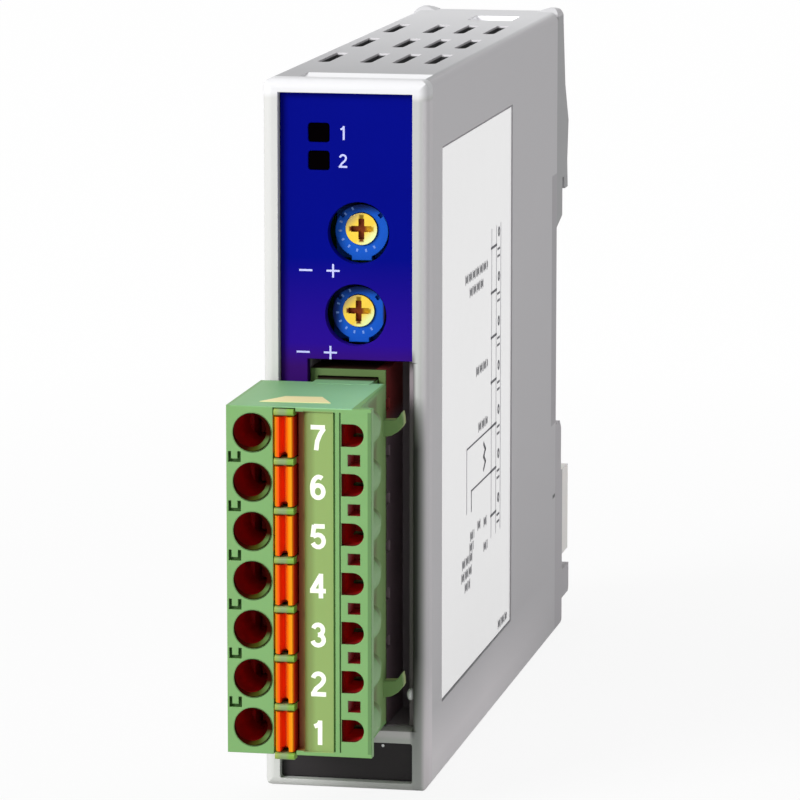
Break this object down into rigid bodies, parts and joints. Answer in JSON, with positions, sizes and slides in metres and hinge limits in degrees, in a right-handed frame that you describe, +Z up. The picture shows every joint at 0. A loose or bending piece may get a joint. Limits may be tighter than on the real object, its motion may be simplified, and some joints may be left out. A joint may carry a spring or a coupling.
{
  "type": "slim rail-mounted signal converter",
  "caption": "Slim grey DIN-rail signal converter with a blue adjusting panel, brass trimmers and a green pluggable spring-clamp terminal with orange levers.",
  "frame": {"origin": "middle of the bounding box on the base plane", "axes": "+X across the width, +Y from the front face to the rail, +Z up"},
  "size_m": [0.0176, 0.1084, 0.0754],
  "materials": {
    "housing": "fine moulded texture",
    "panel": "smooth",
    "black_plastic": "satin",
    "lens": "smoked, polished",
    "trimmer_blue": "satin",
    "brass": "turned",
    "terminal_green": "satin",
    "lever_orange": "satin",
    "tinned_metal": "tin plated",
    "circuit_board": "solder mask",
    "ferrite": "matt",
    "winding": "tape",
    "can": "sleeved",
    "white_plastic": "satin",
    "fuse_brown": "satin",
    "label": "coated paper",
    "latch_ivory": "satin"
  },
  "bodies": {
    "unit": {"case_body": "housing", "front_frame": "housing", "front_panel": "panel", "lower_cover": "black_plastic", "status_led_1": "lens", "status_led_2": "lens", "trimmer_base_1": "trimmer_blue", "trimmer_base_2": "trimmer_blue", "terminal_bay": "black_plastic", "header_shell": "terminal_green", "header_pins": "tinned_metal", "main_board": "circuit_board", "front_board": "circuit_board", "board_link": "black_plastic", "transformer_core": "ferrite", "transformer_bobbin": "winding", "capacitor_1": "can", "capacitor_2": "can", "converter_chip": "black_plastic", "isolators": "white_plastic", "fuse": "fuse_brown", "side_label": "label", "latch_spring": "tinned_metal"},
    "plug": {"plug_body": "terminal_green", "lever_bars": "terminal_green", "contact_clamps": "tinned_metal"},
    "lever_1": {"lever_1": "lever_orange"},
    "lever_2": {"lever_2": "lever_orange"},
    "lever_3": {"lever_3": "lever_orange"},
    "lever_4": {"lever_4": "lever_orange"},
    "lever_5": {"lever_5": "lever_orange"},
    "lever_6": {"lever_6": "lever_orange"},
    "lever_7": {"lever_7": "lever_orange"},
    "rotor_1": {"trimmer_rotor_1": "brass"},
    "rotor_2": {"trimmer_rotor_2": "brass"},
    "latch": {"rail_latch": "latch_ivory"}
  },
  "joints": [
    {"name": "plug_pull", "type": "slide", "parent": "unit", "child": "plug", "axis": [0, -1, 0], "range_m": [0, 0.012]},
    {"name": "lever_1_press", "type": "slide", "parent": "plug", "child": "lever_1", "axis": [0, 1, 0], "range_m": [0, 0.0013], "stiffness_N_per_m": 1500, "springref_m": -0.002},
    {"name": "lever_2_press", "type": "slide", "parent": "plug", "child": "lever_2", "axis": [0, 1, 0], "range_m": [0, 0.0013], "stiffness_N_per_m": 1500, "springref_m": -0.002},
    {"name": "lever_3_press", "type": "slide", "parent": "plug", "child": "lever_3", "axis": [0, 1, 0], "range_m": [0, 0.0013], "stiffness_N_per_m": 1500, "springref_m": -0.002},
    {"name": "lever_4_press", "type": "slide", "parent": "plug", "child": "lever_4", "axis": [0, 1, 0], "range_m": [0, 0.0013], "stiffness_N_per_m": 1500, "springref_m": -0.002},
    {"name": "lever_5_press", "type": "slide", "parent": "plug", "child": "lever_5", "axis": [0, 1, 0], "range_m": [0, 0.0013], "stiffness_N_per_m": 1500, "springref_m": -0.002},
    {"name": "lever_6_press", "type": "slide", "parent": "plug", "child": "lever_6", "axis": [0, 1, 0], "range_m": [0, 0.0013], "stiffness_N_per_m": 1500, "springref_m": -0.002},
    {"name": "lever_7_press", "type": "slide", "parent": "plug", "child": "lever_7", "axis": [0, 1, 0], "range_m": [0, 0.0013], "stiffness_N_per_m": 1500, "springref_m": -0.002},
    {"name": "trimmer_1_turn", "type": "hinge", "parent": "unit", "child": "rotor_1", "pos_m": [0.00125, -0.03345, 0.05925], "axis": [0, -1, 0], "range_deg": [-130, 130]},
    {"name": "trimmer_2_turn", "type": "hinge", "parent": "unit", "child": "rotor_2", "pos_m": [0.00095, -0.03345, 0.05065], "axis": [0, -1, 0], "range_deg": [-130, 130]},
    {"name": "latch_slide", "type": "slide", "parent": "unit", "child": "latch", "axis": [0, 0, -1], "range_m": [0, 0.0015], "stiffness_N_per_m": 1500, "springref_m": -0.002, "deforming": ["latch_spring"]}
  ]
}
